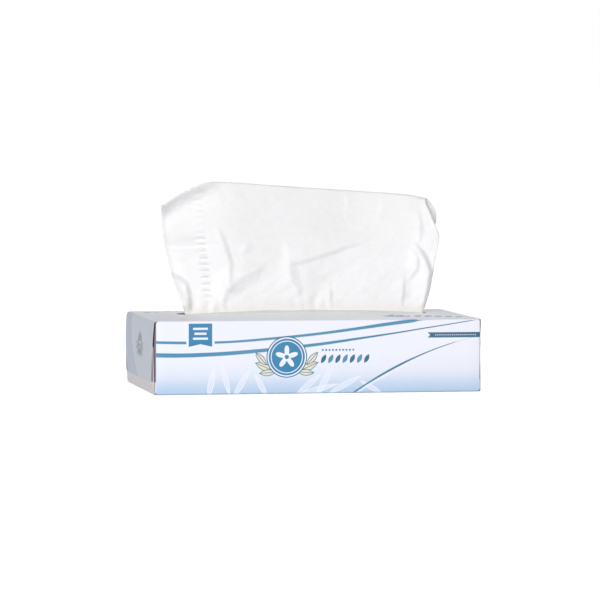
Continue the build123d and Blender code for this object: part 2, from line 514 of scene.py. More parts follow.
# Print on the long panels: the tint from the foot, 0, to the top, 1, then, from the left end, 0, to the right end, 1,
# the stripes' heights as shares of the panel's, and how the widths of the arc and the stripes change
FOOT_TINT = ((0, 1), (0.12, 0.7), (0.3, 0.2), (0.48, 0.035), (0.72, 0.0), (1, 0.0))
ARC_WIDTH = (
    (0, 0), (0.575, 0.0), (0.6, 0.5), (0.656, 0.58), (0.7, 0.74), (0.735, 0.76), (0.76, 0.68), (0.8, 0.5),
    (0.84, 0.39), (0.88, 0.3), (0.91, 0.22), (0.935, 0.0), (1, 0),
)
UPPER_STRIPE = (
    (0, 0.716), (0.1, 0.705), (0.2, 0.709), (0.26, 0.721), (0.32, 0.741), (0.473, 0.802), (0.6, 0.871),
    (0.717, 0.943), (0.77, 0.972), (0.8, 0.984), (0.84, 0.993), (1, 1),
)
UPPER_WIDTH = (
    (0, 0.74), (0.08, 0.74), (0.2, 0.64), (0.32, 0.67), (0.47, 0.72), (0.6, 0.8), (0.717, 0.95), (0.763, 0.97),
    (0.79, 0.74), (0.838, 0.0), (1, 0),
)
LOWER_STRIPE = (
    (0, 0.543), (0.08, 0.536), (0.141, 0.541), (0.231, 0.56), (0.291, 0.58), (0.453, 0.648), (0.534, 0.691),
    (0.595, 0.729), (0.717, 0.806), (0.84, 0.891), (0.901, 0.932), (0.971, 0.98), (1, 0.995),
)
LOWER_WIDTH = (
    (0, 1), (0.1, 0.95), (0.29, 0.86), (0.45, 0.74), (0.534, 0.65), (0.656, 0.46), (0.778, 0.3), (0.9, 0.22),
    (0.96, 0.18), (0.985, 0.0), (1, 0),
)
# Leaves in millimetres: middle (x, z), turn in degrees, length and width
FOOT_LEAVES = (
    (-76, 8, 78, 22, 4.6), (-66, 11, 104, 26, 4.2), (-55, 7, 60, 24, 4.4), (-41, 6, 118, 20, 4.0),
    (-8, 6, 40, 26, 4.4), (4, 9, 62, 30, 4.6), (18, 6, 28, 28, 4.2), (-1, 3, 14, 32, 4.0), (37, 4, 150, 20, 3.6),
)
SPRIG = ((15.5, -6.8, 24, 15, 5.4), (18.0, -1.2, 48, 12, 4.6), (13.5, -10.8, -4, 12, 4.6))
SMALL_LEAF_TURN = 62
STRIP_LEVEL = 40.0


def print_material(carton):
    """Printed face: white board, a blue foot to the long panels, stripes, arc, badge, emblem and leaves."""
    shade = new_shade("printed_board")
    fade = shade.fade
    vector, x, y, z = shade.place()
    half_length, half_depth, height = (v / MM for v in (carton.length / 2, carton.depth / 2, carton.height))
    edge = 0.18
    front = fade(y, 0.9 - half_depth, 0.5 - half_depth)
    back = fade(y, half_depth - 0.9, half_depth - 0.5)
    long_side = front + back
    across = x * (front - back)
    along = fade(across, -half_length, half_length)
    white, stripe, top_white = carton.paper_white, carton.stripe_blue, carton.top_white
    paint = shade.mix(shade.curve(fade(z, 0, height), FOOT_TINT), white, carton.foot_blue)
    at_end = fade(abs(x), half_length - 2.2, half_length - 0.4)
    end_face = at_end - at_end * long_side
    # The end flaps' tint, which carries painted shade as well as print
    paint = shade.mix(end_face, paint, carton.end_tint_and_shade)

    def within(depth):
        """1 inside an outline, where the depth from it is above 0, with a soft edge."""
        return fade(depth, -edge, edge)

    def disc(away, radius, soft):
        return fade(away, radius + soft, radius - soft)

    def band(middle, half):
        """1 within a half width of a line at that height, 0 outside."""
        return within(half - abs(z - middle))

    def box(cx, cz, half_x, half_z):
        return within(shade.least(half_x - abs(across - cx), half_z - abs(z - cz)))

    def dots(left, right, middle, pitch, dot):
        """A row of round dots between two places."""
        step = shade.math("FRACT", (across - left) * (1 / pitch)) - 0.5
        kept = shade.math("GREATER_THAN", across, left) * shade.math("LESS_THAN", across, right)
        return kept * disc(shade.distance(step * pitch, z - middle), dot, edge / 2)

    def leaf_form(cx, cz, degrees, length, width, run=across, rise=z):
        """How far inside a pointed leaf a place lies, and how far from the leaf's midrib."""
        cos, sin = math.cos(math.radians(degrees)), math.sin(math.radians(degrees))
        dx, dz = run - cx, rise - cz
        from_middle = abs((dx * cos + dz * sin) * (2 / length))
        from_rib = abs(dz * cos - dx * sin)
        reach = shade.math("MULTIPLY_ADD", shade.math("POWER", from_middle, 2.0), -width / 2, width / 2)
        return reach - from_rib, from_rib

    def over(mask, ink, strength=1.0, where=long_side):
        """Prints an ink over what is there, on the long panels or another face."""
        nonlocal paint
        paint = shade.mix(mask * (where * strength), paint, ink)

    def emblem(run, rise, cx, cz, scale, where, rim, field, light, leaf_fill):
        """A round emblem with a ring and five petals, and a sprig of dark-rimmed leaves to each side of it."""
        for side in (-1, 1):
            for dx, dz, degrees, length, width in SPRIG:
                inside, from_rib = leaf_form(
                    cx + side * dx * scale, cz + dz * scale, degrees if side > 0 else 180 - degrees,
                    length * scale, width * scale, run, rise,
                )
                over(within(inside), rim, where=where)
                over(fade(inside, 0.35, 0.65) * fade(from_rib, 0.12, 0.3), leaf_fill, where=where)
        ex, ez = run - cx, rise - cz
        away = shade.distance(ex, ez) * (1 / scale)
        petals = shade.math("MULTIPLY_ADD", shade.math("COSINE", shade.math("ARCTAN2", ex, ez) * 5.0), 2.7, 5.4)
        soft = 0.1 / scale
        for from_shape, radius, ink in (
            (away, 14.3, rim), (away, 13.6, light), (away, 12.7, field), (abs(away - 11.0), 0.3, light),
            (away - petals, 0, light), (away, 1.5, field),
        ):
            over(disc(from_shape, radius, soft), ink, where=where)

    # Top panel, whitest along its middle
    top_face = fade(z, height - 0.3, height - 0.05) * (1.0 - (long_side + end_face))
    middle = shade.least(fade(x, -100, -78), fade(x, 102, 30))
    over(top_face, shade.mix(middle, carton.top_tint, top_white), where=1.0)
    # Outer end flaps: a deeper field below an arc with a pale line
    arc_radius = 70.0
    end_run = y * (shade.math("SIGN", x) * -1.0)
    from_arc = shade.distance(end_run + 34.0, z - arc_radius) - arc_radius
    over(within(from_arc), carton.end_deep, where=end_face)
    over(fade(abs(from_arc), 0.9, 0.5), white, 0.4, where=end_face)
    # Pale leaves along the foot
    for leaf in FOOT_LEAVES:
        inside, from_rib = leaf_form(*leaf)
        rim = fade(abs(inside - 0.45), 0.5, 0.25)
        rib = fade(from_rib, 0.3, 0.12) * fade(inside, 0, 0.3)
        over(shade.most(shade.most(rim, rib) * 0.85, within(inside) * 0.4), white)
    # Arc with a pale edge below it
    run = across - 23.5
    arc_line = -0.1 + run * (0.665 - run * 0.00256)
    arc_width = shade.curve(along, ARC_WIDTH)
    over(band(arc_line - 1.8, arc_width * 1.5), white, 0.6)
    over(band(arc_line, arc_width * 1.08), carton.arc_blue)
    # Two stripes, the lower one deeper in colour towards the right
    deeper = shade.mix(fade(along, 0.5, 0.9), stripe, carton.teal)
    for line, width, half, ink in (
        (UPPER_STRIPE, UPPER_WIDTH, 1.25, stripe), (LOWER_STRIPE, LOWER_WIDTH, 1.5, deeper)
    ):
        over(band(shade.curve(along, line) * height, shade.curve(along, width) * half), ink)
    # Badge with a notched foot, on a white border, and three bars in it
    cx, top, foot, half = -83.6, 49.2, 33.2, 8.2
    badge_box = cx, (top + foot) / 2, half, (top - foot) / 2
    over(box(cx, badge_box[1], half + 1.6, badge_box[3] + 0.8), white)
    notch = abs(across - cx) * -0.22 + (foot + 1.8)
    over(shade.least(box(*badge_box), within(z - notch)), carton.badge_blue)
    for bar, wide in ((45.6, 5.2), (42.2, 4.2), (38.8, 5.2)):
        over(box(cx, bar, wide, 0.75), white)
    # Emblems on the long panels and the end flaps
    emblem(across, z, -23, 25.6, 1.0, long_side, carton.teal, carton.badge_blue, white, carton.cream)
    emblem(y, z, -6, 32, 0.62, end_face, carton.slate, carton.slate, carton.end_tint_and_shade, carton.end_tint_and_shade)
    # A small emblem and a row of leaves at two corners of the top panel
    top_run, top_rise, top_level = x * (shade.math("SIGN", y) * -1.0), abs(y) * -1.0, -39.0
    emblem(top_run, top_rise, 59.5, top_level, 0.45, top_face, stripe, stripe, top_white, top_white)
    for i in range(5):
        inside, _ = leaf_form(75.0 + 7.4 * i, top_level, SMALL_LEAF_TURN, 12.0, 5.0, top_run, top_rise)
        over(within(inside), stripe, 0.75, where=top_face)
    # A row of dots and a row of small leaves beside the emblem
    over(dots(1.2, 25.2, 30.2, 2.4, 0.75), stripe)
    for i in range(7):
        inside, _ = leaf_form(3 + 5.1 * i, 24.0, SMALL_LEAF_TURN, 7.0, 3.0)
        over(within(inside), stripe if i % 2 else carton.teal)
    # Strip with a notched end and a row of dots
    strip_left = 76.8 + (2.0 - abs(z - STRIP_LEVEL))
    over(shade.least(box(97.5, STRIP_LEVEL, 20.5, 1.85), within(across - strip_left)), carton.teal)
    over(dots(82.0, 112.0, STRIP_LEVEL, 1.5, 0.42), white, 0.8)
    # Painted shade along the foot, where the bottom fold turns under
    over(fade(z, 1.1, 0.7), carton.foot_fold_shade, 0.55)
    # Paper grain, and a slight cloud over the whole print
    grain = shade.noise(vector, 1.4, 6.0, 0.65)
    cloud = shade.noise(vector, 0.03, 3.0)
    paint = shade.mix(fade(cloud, 0.3, 0.8), paint, shade.mix(0.06, paint, carton.raw_board))
    return shade.finish(shade.surface(
        Base_Color=paint, Roughness=0.36 + grain * 0.16, Specular_IOR_Level=0.35,
        Normal=shade.bump(grain, 0.03 * MM, 0.25),
    ))


def bare_flap_material(carton):
    """Coated white of the inner flaps, a little warmer than the printed face and scuffed along the grain."""
    shade = new_shade("bare_flap")
    vector, _, y, z = shade.place()
    scuff = shade.noise(shade.stretched(vector, (1, 0.05, 1.2)), 1.0, 4.0, 0.6)
    base = carton.flap_white
    paint = shade.mix(shade.fade(scuff, 0.35, 0.75), base, dimmed(base, 0.9))
    # Painted shade at both sides, above the foot, for the shadowed recess beside the outer end flaps
    paint = shade.mix(shade.fade(abs(y), 43.0, 44.0) * shade.fade(z, 8.6, 9.4), paint, carton.recess_shade)
    return shade.finish(shade.surface(
        Base_Color=paint, Roughness=0.6, Specular_IOR_Level=0.3, Normal=shade.bump(scuff, 0.04 * MM, 0.3)
    ))


def raw_board_material(carton):
    """Inner face and cut edges: grey-brown recycled fibre with darker flecks."""
    shade = new_shade("raw_board")
    vector, *_ = shade.place()
    fibre = shade.noise(shade.stretched(vector, (0.6, 2.2, 2.2)), 1.6, 8.0, 0.7)
    fleck = shade.fade(shade.noise(vector, 2.4, 3.0), 0.64, 0.74)
    base = carton.raw_board
    paint = shade.mix(fibre, dimmed(base, 0.82), base)
    paint = shade.mix(fleck * 0.5, paint, dimmed(base, 0.5))
    return shade.finish(shade.surface(Base_Color=paint, Roughness=0.9, Normal=shade.bump(fibre, 0.06 * MM, 0.5)))


def model_film(film, carton):
    """Film that follows the top panel's underside and is drawn up where the sheet passes its slit."""
    half_slit = carton.length / 2 - carton.slot_margin - 1 * MM
    half_x, half_y = FILM_HIGH.x, FILM_HIGH.y
    corner = 4 * MM
    count = 96
    inner, outer = [], []
    for i in range(count):
        a = 2 * math.pi * (i + 0.5) / count
        # The slit, wavy, and closed at its ends
        x = half_slit * held(1.12 * math.cos(a))
        close = 1 - (x / half_slit) ** 8
        wave = 0.22 * MM * (math.sin(x * 130) + math.sin(x * 310 + 1)) * close
        middle = float(slit_line(np.array(x / MM))) * MM
        inner.append((x, math.copysign(film.slit / 2 * close + 0.02 * MM, math.sin(a)) + wave + middle, 0))
        # The film's rectangle, with its corners cut
        edge_x, edge_y = half_x * held(1.3 * math.cos(a)), half_y * held(4.4 * math.sin(a))
        cut = max(0, abs(edge_x) - half_x + corner) + max(0, abs(edge_y) - half_y + corner) - corner
        if cut > 0:
            edge_x -= math.copysign(cut * 0.3, edge_x)
            edge_y -= math.copysign(cut * 0.3, edge_y)
        outer.append((edge_x, edge_y, 0))
    piece = ring_piece("slot_film_clear", inner, outer, 14)
    under = carton.height - carton.board - FILM_THICKNESS
    for point in piece.data.vertices:
        p = point.co
        rise = math.exp(-(p.y / (6.5 * MM)) ** 2) * max(0, 1 - abs(p.x / half_slit) ** 4)
        ripple = 0.25 * MM * math.sin(p.x * 90 + 3 * math.sin(p.x * 37)) * rise
        p.z = under + crown_at(carton, p.x, p.y) + film.lift * rise + ripple
    piece.data.update()
    edit_mesh(piece, "SELECT")
    bpy.ops.mesh.remove_doubles(threshold=0.005 * MM)
    leave_mesh()
    if piece.data.polygons[0].normal.z < 0:
        piece.data.flip_normals()
    apply_modifier(piece, "SOLIDIFY", thickness=FILM_THICKNESS, offset=-1)
    smooth(piece, 60)
    piece.data.materials.append(film_material(film))
    return piece


def held(value):
    """A value kept between -1 and 1."""
    return max(-1, min(1, value))


def film_material(film):
    """Thin clear film with a slight cloud in its gloss."""
    shade = new_shade("clear_film")
    vector, *_ = shade.place()
    haze = shade.noise(vector, 0.12, 3.0)
    return shade.finish(shade.surface(
        Base_Color=film.tint, Roughness=0.06 + haze * 0.12, Alpha=film.clearness, IOR=1.5,
        Normal=shade.bump(haze, 0.4 * MM, 0.4),
    ))


def rounded_outline(half_x, half_y, corner, steps, z):
    """Points round a rectangle with rounded corners, its sides cut into even steps."""
    points = []
    in_x, in_y = half_x - corner, half_y - corner
    for sx, sy, start in ((1, 1, 0.0), (-1, 1, 0.5), (-1, -1, 1.0), (1, -1, 1.5)):
        for i in range(5):
            a = math.pi * (start + i / 8)
            points.append((sx * in_x + corner * math.cos(a), sy * in_y + corner * math.sin(a), z))
        after = (-sy, 0) if sx * sy > 0 else (0, sx)
        span = 2 * in_x if after[0] else 2 * in_y
        x, y, _ = points[-1]
        for i in range(1, steps):
            points.append((x + after[0] * span * i / steps, y + after[1] * span * i / steps, z))
    return points


def model_stack(stack):
    """A block of folded layers: each layer's edge stands out a little and the next one draws in."""
    low, high = STACK_LOW, STACK_HIGH
    outline = rounded_outline(high.x - 0.3 * MM, high.y - 1.5 * MM, 1.5 * MM, 18, low.z)
    piece = outline_piece("tissue_stack_folded", outline, "NGON")
    rise = (high.z - 0.6 * MM - low.z) / stack.layers
    edit_mesh(piece, "SELECT")

    def raise_block(lift, x_ratio, y_ratio):
        bpy.ops.mesh.extrude_region_move(TRANSFORM_OT_translate={"value": (0, 0, lift)})
        bpy.ops.transform.resize(value=(x_ratio, y_ratio, 1), center_override=(0, 0, 0))

    shuffle = np.random.default_rng(7)
    before = 1.0
    for layer in range(stack.layers):
        bulge = 1.2 * math.sin(math.pi * (layer + 0.5) / stack.layers) + shuffle.uniform(-0.25, 0.25)
        for share, drawn_in in ((0.25, 0.25), (0.5, 0.0), (0.25, 0.45)):
            spread = 1 + 0.018 * (bulge - drawn_in)
            ratio = spread / before
            raise_block(rise * share, 1 + (ratio - 1) * 0.25, ratio)
            before = spread
    # The top, softly rounded over
    for lift, ratio in ((0.3, 0.98), (0.2, 0.9), (0.1, 0.6), (0.0, 0.3)):
        raise_block(lift * MM, 0.5 + ratio / 2, ratio)
    leave_mesh()
    smooth(piece, 50)
    piece.data.materials.append(stack_material(stack))
    return piece


def stack_material(stack):
    """Soft white paper, each layer's edge faintly shaded."""
    shade = new_shade("stacked_tissue")
    vector, _, _, z = shade.place()
    layer = shade.math("SINE", z * (2 * math.pi))
    fibre = shade.noise(vector, 1.1, 6.0, 0.7)
    base = stack.paper
    paint = shade.mix(shade.fade(layer, 0.2, 1.0), base, dimmed(base, 0.93))
    paint = shade.mix(fibre * 0.25, paint, dimmed(base, 0.95))
    return shade.finish(shade.surface(
        Base_Color=paint, Roughness=0.95, Specular_IOR_Level=0.2, Normal=shade.bump(fibre, 0.1 * MM, 0.4)
    ))


# Where the sheet's outline lies, in millimetres: height above the base, then the place of each side edge
LEFT_EDGE = (
    (50, -84.0), (53, -84.0), (55.1, -84.9), (66.4, -89.2), (77.7, -93.5), (91.8, -97.1), (104.4, -99.6),
    (117.1, -100.9), (128.3, -101.4), (150, -101.4),
)
RIGHT_EDGE = (
    (50, 87.4), (53, 87.8), (55, 89.0), (68.1, 93.0), (82.4, 95.4), (93.8, 97.4), (103, 99.4), (107.5, 99.6),
    (112.3, 97.4), (122, 93.2), (131.6, 88.9), (150, 86),
)
# The roll along the top: share of the half width, height of its crest and radius
ROLL = (
    (-1.0, 128.0, 0.5), (-0.888, 135.6, 0.5), (-0.738, 142.4, 0.5), (-0.63, 145.4, 0.8), (-0.5, 145.2, 1.2),
    (0.0, 142.0, 1.3), (0.37, 139.8, 1.3), (0.75, 137.4, 1.6), (0.9, 136.0, 2.4), (1.0, 133.4, 3.0),
)
# Lines that part the sheet's large facets, as (x, z): the long overhanging fold, the valley below it that runs
# up to the right, the short fold that ends both on the left, and the rim at the top left
LONG_FOLD = ((-14, 85), (-0.3, 89.9), (12.7, 93), (28.6, 98.3), (48.9, 103.7), (70, 111.5), (100, 124))
VALLEY = (
    (-12, 52), (4, 55), (9.9, 63), (14.3, 68.6), (28.7, 79.9), (46.1, 92.6), (63.5, 106.7), (76.5, 124), (100, 140),
)
SHORT_FOLD = ((-13, 96), (-8.2, 77.2), (-3.8, 68.7), (-1.5, 54))
RIM = ((-101, 128), (-90.8, 135.3), (-76.6, 142.3), (-66.6, 145.6), (-50, 150))
# Creases on the front of the sheet: points (x, z, strength), height, and reach to the left and right of their run
CREASES = (
    (((-63.5, 120, 0), (-59.3, 108.5, 0.6), (-55.7, 98.7, 1), (-52.1, 87.4, 0.9), (-51.8, 78, 0.35)), 2.0, 3.0, 15),
    (((-52.1, 88, 0), (-52.3, 80, 0.8), (-53.5, 71, 1), (-58, 61.5, 0.6), (-64, 54, 0.2)), 2.0, 5, 12),
    (((-56, 66.5, 0), (-51, 71.5, 1), (-44.9, 77.7, 1), (-34.8, 82.4, 0.7), (-23, 87, 0)), 3.6, 14, 9),
    (((-46, 91, 0), (-42, 98, 1), (-37, 105.5, 0)), 1.2, 3, 8),
    (((-15, 85, 0), (-7, 87.7, 0.9), (12.7, 93, 1), (28.6, 98.3, 0.9), (42, 102, 0.5), (60, 107, 0)), 2.2, 20, 2.2),
    (((-11.5, 93, 0), (-9.5, 84, 0.8), (-8.2, 77.2, 1), (-3.8, 68.7, 0.5), (-1.5, 58, 0)), 2.4, 7, 11),
    (((-106, 99.5, 0.6), (-85, 99.0, 1), (-70, 99.6, 0.8), (-54, 100.6, 0)), -4.2, 10, 4),
    (((-101, 81, 0.3), (-88.4, 77, 1), (-84.1, 73.4, 1), (-81.9, 64.9, 1), (-80.6, 50, 0.3)), 4.4, 2.8, 12),
    (((20.3, 76, 0), (20.3, 66, 1), (20.6, 52, 0.6)), 1.3, 1.8, 13),
    (((78.0, 100, 0), (83.3, 91, 1), (83.3, 83.9, 1), (75.5, 73, 0)), 2.4, 2.0, 9),
    (((74.4, 84, 0), (73.2, 68.2, 1), (72.4, 54, 0.3)), 1.8, 1.9, 9),
    (((84.2, 129, 0), (86.1, 110.9, 1), (84.5, 98, 0)), 1.8, 2.2, 12),
    (((79, 105, 0), (88.5, 90.5, 1), (92.0, 81, 1), (90.2, 68, 1), (85.5, 50, 0.6)), 4.4, 3.4, 11),
    (((-38, 68, 0), (-36, 52, 1)), 0.6, 3.5, 6),
    (((-26, 64, 0), (-28, 52, 1)), 0.5, 4, 6),
    (((44, 66, 0), (47, 52, 1)), 0.5, 4, 9),
    (((58, 70, 0), (60, 52, 1)), 0.5, 4, 8),
    (((30, 114, 0), (33, 128, 1), (32, 142, 0)), 0.5, 3, 6),
    (((54, 110, 0), (57, 124, 1), (58, 138, 0)), 0.6, 3, 7),
    (((-30, 118, 0), (-14, 124, 1), (2, 126, 0)), 0.6, 9, 4),
    (((4, 118, 0), (20, 114, 1), (34, 117, 0)), 0.4, 4, 7),
)
# Creases on the part that hangs behind, in the same terms
BACK_CREASES = (
    (((-70, 132, 0), (-58, 112, 1), (-40, 88, 0.6), (-30, 72, 0)), 3.0, 8, 15),
    (((62, 128, 0), (46, 108, 1), (32, 90, 0.7), (26, 74, 0)), 2.8, 13, 5),
    (((-20, 136, 0), (-12, 118, 0.8), (-16, 98, 1), (-6, 76, 0.3)), 1.8, 4, 12),
    (((86, 118, 0), (72, 100, 1), (60, 84, 0.6), (56, 72, 0)), 2.4, 5, 13),
    (((8, 130, 0), (17, 112, 1), (11, 94, 0)), 1.4, 4, 10),
    (((-96, 112, 0), (-80, 101, 1), (-58, 97, 0)), 2.0, 8, 4),
    (((-48, 136, 0), (-30, 128, 1), (-8, 130, 0)), 1.2, 4, 9),
    (((28, 132, 0), (46, 124, 1), (68, 122, 0)), 1.2, 4, 9),
)
CRIMP_PITCH = 4.6


def trend(table, value, blur, column=1):
    """Reads a table of listed places at any value, its corners rounded by averaging nearby readings."""
    rows = np.array(table, float)
    steps = np.linspace(-blur, blur, 9)
    return sum(np.interp(value + d, rows[:, 0], rows[:, column]) for d in steps) / len(steps)


def ease(value, start, end):
    """0 at start, 1 at end, level at both."""
    share = np.clip((value - start) / (end - start), 0, 1)
    return share * share * (3 - 2 * share)


def crease_form(x, z, points, height, left, right):
    """A crease along a line of points: one flank reaches out to each side of it, as far as its strength there."""
    points = np.array(points, float)
    best = np.full(x.shape, 1e9)
    form = np.zeros(x.shape)
    for (ax, az, start), (bx, bz, end) in zip(points, points[1:]):
        length = math.hypot(bx - ax, bz - az)
        dx, dz = (bx - ax) / length, (bz - az) / length
        t = np.clip((x - ax) * dx + (z - az) * dz, 0, length)
        ox, oz = x - ax - t * dx, z - az - t * dz
        away = np.hypot(ox, oz)
        reach = np.where(dx * oz - dz * ox > 0, left, right)
        strength = ease(start + (end - start) * t / length, 0, 1)
        fall = np.clip(1 - np.sqrt(away**2 + 0.1) / (reach * (0.25 + 0.75 * strength)), 0, 1) ** 1.3
        form = np.where(away < best, fall * strength, form)
        best = np.minimum(best, away)
    return -height * form


def crumple(x, z, seed, count, height, low, high):
    """Soft facets: folded waves in many directions, each showing only in patches."""
    draw = np.random.default_rng(seed)
    form = np.zeros(x.shape)
    for _ in range(count):
        turn = draw.uniform(0, math.pi)
        pitch = draw.uniform(low, high)
        shift = draw.uniform(0, 1, 4)
        wave = ((x * math.cos(turn) + z * math.sin(turn)) / pitch + shift[0]) % 1
        patch = np.sin(x / 37 + 6.3 * shift[1]) * np.sin(z / 29 + 6.3 * shift[2] + x / 80)
        form += np.clip(patch - 0.1 * shift[3], 0, 1) * (np.abs(wave - 0.5) * 2 - 0.5)
    return height * form


def slit_line(x):
    """Where the sheet holds the film's slit open: a slow wave about the middle of the slot, in millimetres."""
    return (1.4 * np.sin((x + 30) / 26) - 0.8 * np.sin(x / 41)) * ease(89 - np.abs(x), 0, 30)


def leaning_form(x, z):
    """The lower right part, which leans back from the slit and faces a little to the left."""
    return 0.17 * (np.minimum(z, 96) - 53) + 0.06 * np.maximum(z - 96, 0) - 0.1 * (x - 10) * ease(z, 56, 90)


def upper_form(x, z):
    """The part above the long fold: close to upright, a little turned to the right, and at its right end leaning."""
    upright = (0.035 * (x + 20) + 0.05 * np.clip(x + 45, 0, None)) * ease(z, 60, 120) + 1.5 * ease(z, 95, 150)
    return upright + (leaning_form(x, z) - upright) * ease(x, 14, 84)


def front_form(x, z):
    """How far the standing sheet lies behind (+) or before (-) the middle of the slot."""
    fold, valley = trend(LONG_FOLD, x, 2), trend(VALLEY, x, 2)
    # Below the valley the sheet leans back from the slit; from there to the long fold it hangs over
    at_valley = leaning_form(x, valley)
    depth = np.clip((fold - z) / np.maximum(fold - valley, 7), 0, 1)
    hanging = upper_form(x, np.maximum(z, fold))
    hanging = hanging + (at_valley - hanging) * (1 - (1 - depth) ** 1.7)
    below_fold = np.where(z < valley, leaning_form(x, z), hanging)
    right_of = x - np.interp(-z, [-p[1] for p in SHORT_FOLD], [p[0] for p in SHORT_FOLD])
    share = ease(right_of, -1, 7) * (1 - ease(z, fold, fold + 0.5))
    form = upper_form(x, z) * (1 - share) + below_fold * share
    form += ease(z, 53, 75) * (9.0 * ease(-x, 50, 108) - 1.0 * ease(x, 84, 101))
    # The rim at the top left comes forward before it rolls back, and the left edge curls a little
    below = trend(RIM, x, 2) - z
    form -= 8.5 * (1 - np.clip(below / 11, 0, 1)) ** 1.7 * ease(-x, 54, 78)
    inward = x - trend(LEFT_EDGE, z, 2)
    form -= 3.0 * (1 - ease(inward, 0, 7)) * (1 - ease(z, 72, 84)) * ease(z, 53, 60)
    form -= 1.2 * (1 - ease(inward, 0, 2.6)) * ease(z, 60, 70)
    for crease in CREASES:
        form += crease_form(x, z, *crease) * (0.2 + 0.8 * ease(z, 52.5, 59))
    # Small pleats where the film gathers it, then wide and fine crumple
    pleats = (0.25 + 0.3 * ease(-x, 30, 60)) * np.sin(x / 1.45 + 2 * np.sin(x / 9))
    pleats = pleats * np.clip(np.sin(x / 13 + 0.8) + 0.3, 0, 1)
    form += pleats * ease(z, 52, 55) * (1 - ease(z, 56, 66))
    form += crumple(x, z, 11, 14, 0.5, 22, 55) * ease(z, 55, 75)
    form += crumple(x, z, 5, 12, 0.3, 7, 16) * ease(z, 54, 60)
    return slit_line(x) * (1 - ease(z, 60, 110)) + form * ease(z, 51, 57) + 0.9 * ease(z, 52, 58)


def crimp_form(x, q):
    """The line of short pressed ripples that holds the two plies together."""
    line = np.interp(q, (14, 25, 34, 44, 54, 85), (-69.3, -69.6, -70.6, -71.6, -73.1, -74.8))
    beside = np.exp(-(((x - line) / 3.0) ** 4))
    run = 0.3 + 0.7 * ease(q, 8, 17) * (1 - ease(q, 50, 60))
    return -1.8 * beside * run * np.sin(2 * math.pi * (q - 21.6) / CRIMP_PITCH + 0.5 * np.sin(q / 3 + x / 4))


def sheet_places(u, w, width):
    """Where each point of the flat sheet lies, in millimetres: u across it, w from the end that hangs behind."""
    s = u / (width / 2)
    crest, radius = trend(ROLL, s, 0.04), trend(ROLL, s, 0.1, column=2)
    slit, deck = 52.0, 49.2
    rise = crest - radius - slit
    behind = 62 + 0.5 * (89 - rise)
    q = behind + np.pi * radius + rise - w
    # The part that stands in front
    z = np.clip(slit + q, deck, crest - radius)
    left, right = trend(LEFT_EDGE, z, 2), trend(RIGHT_EDGE, z, 2)
    x = left + (s + 1) / 2 * (right - left)
    y = front_form(x, z)
    # The roll along the top and the part that hangs behind it
    past = q - rise
    turn = np.clip(past / radius, 0, math.pi)
    drop = np.clip(past - math.pi * radius, 0, None)
    over, hangs = past > 0, drop > 0
    y = np.where(over, y + radius * (1 - np.cos(turn)), y)
    z = np.where(over, crest - radius + radius * np.sin(turn) - drop, z)
    to_right = ease(s, 0.7, 1) * 8.5 * ease(past, 2, 17) - 0.4 * ease(s, 0, 1) * np.clip(drop - 14, 0, None)
    to_left = ease(-s, 0, 1) * (3.5 * ease(past, 2, 14) + 0.28 * drop)
    x = np.where(over, x + to_right + to_left, x)
    hang = ease(drop, 0, 40)
    waves = 2.5 + 2.4 * np.sin(x / 11 + 0.5) + 1.2 * np.sin(x / 6 + z / 14)
    y += np.where(hangs, hang * waves + 0.05 * drop, 0)
    y += np.where(hangs, (crumple(x, z, 23, 8, 0.7, 14, 40) + crumple(x, z, 31, 12, 0.2, 7, 16)) * hang, 0)
    for crease in BACK_CREASES:
        y -= np.where(hangs, crease_form(x, z, *crease) * ease(drop, 2, 14), 0)
    y += np.where(over, 7.0 * ease(s, 0.75, 1) * ease(past, 5, 24), 0)
    y = np.where(hangs, np.maximum(y, front_form(x, z) + radius * (1 + ease(drop, 0, 3))), y)
    # The part that lies on the stack, under the film
    inside = -q - (slit - deck)
    lies = inside > 0
    spread = ease(inside, 0, 26)
    x = np.where(lies, x * (1 - spread) + u * spread, x)
    # Seen from the front left, what lies further back shows further left and higher: the outline allows for it
    x = np.where(lies, x, x + 0.2 * y)
    z = np.where(lies, z, z - 0.05 * y * ease(z, 53, 60))
    y = np.where(lies, inside * 0.93 + slit_line(x) * (1 - spread), y)
    z = np.where(lies, deck + 0.25 * np.sin(inside / 4.0 + x / 30) * ease(inside, 2, 12), z)
    places = soften(np.stack([x, y, z], -1), 0.3)
    places[..., 1] += crimp_form(x, q) * ease(q, 6, 12) * (1 - ease(past, -6, 0))
    return places


def soften(places, strength):
    """Evens out neighbouring points of the grid, as limp tissue does."""
    middle = places.copy()
    middle[1:-1] += strength * ((places[2:] + places[:-2]) / 2 - places[1:-1])
    even = middle.copy()
    even[:, 1:-1] += strength * ((middle[:, 2:] + middle[:, :-2]) / 2 - middle[:, 1:-1])
    return even


def model_sheet(sheet):
    """A flat sheet of tissue, laid point by point into its creases, then given its two plies' thickness."""
    columns = round(sheet.width / sheet.spacing)
    rows = round(sheet.length / sheet.spacing)
    grid = {"x_subdivisions": columns, "y_subdivisions": rows, "size": 1}
    piece = start_piece("standing_tissue", bpy.ops.mesh.primitive_grid_add, **grid)
    mesh = piece.data
    flat = np.zeros(len(mesh.vertices) * 3, np.float32)
    mesh.vertices.foreach_get("co", flat)
    flat = flat.reshape(-1, 3)
    for loop in mesh.loops:
        place = flat[loop.vertex_index]
        mesh.uv_layers[0].data[loop.index].uv = (place[0] + 0.5, place[1] + 0.5)
    flat = flat.reshape(rows + 1, columns + 1, 3)
    width, length = sheet.width / MM, sheet.length / MM
    places = sheet_places(flat[..., 0] * width, (flat[..., 1] + 0.5) * length, width)
    mesh.vertices.foreach_set("co", (places * MM).astype(np.float32).ravel())
    mesh.update()
    apply_modifier(piece, "SOLIDIFY", thickness=sheet.thickness, offset=0)
    select_only(piece)
    bpy.ops.object.shade_smooth()
    mesh.materials.append(tissue_material(sheet))
    return piece


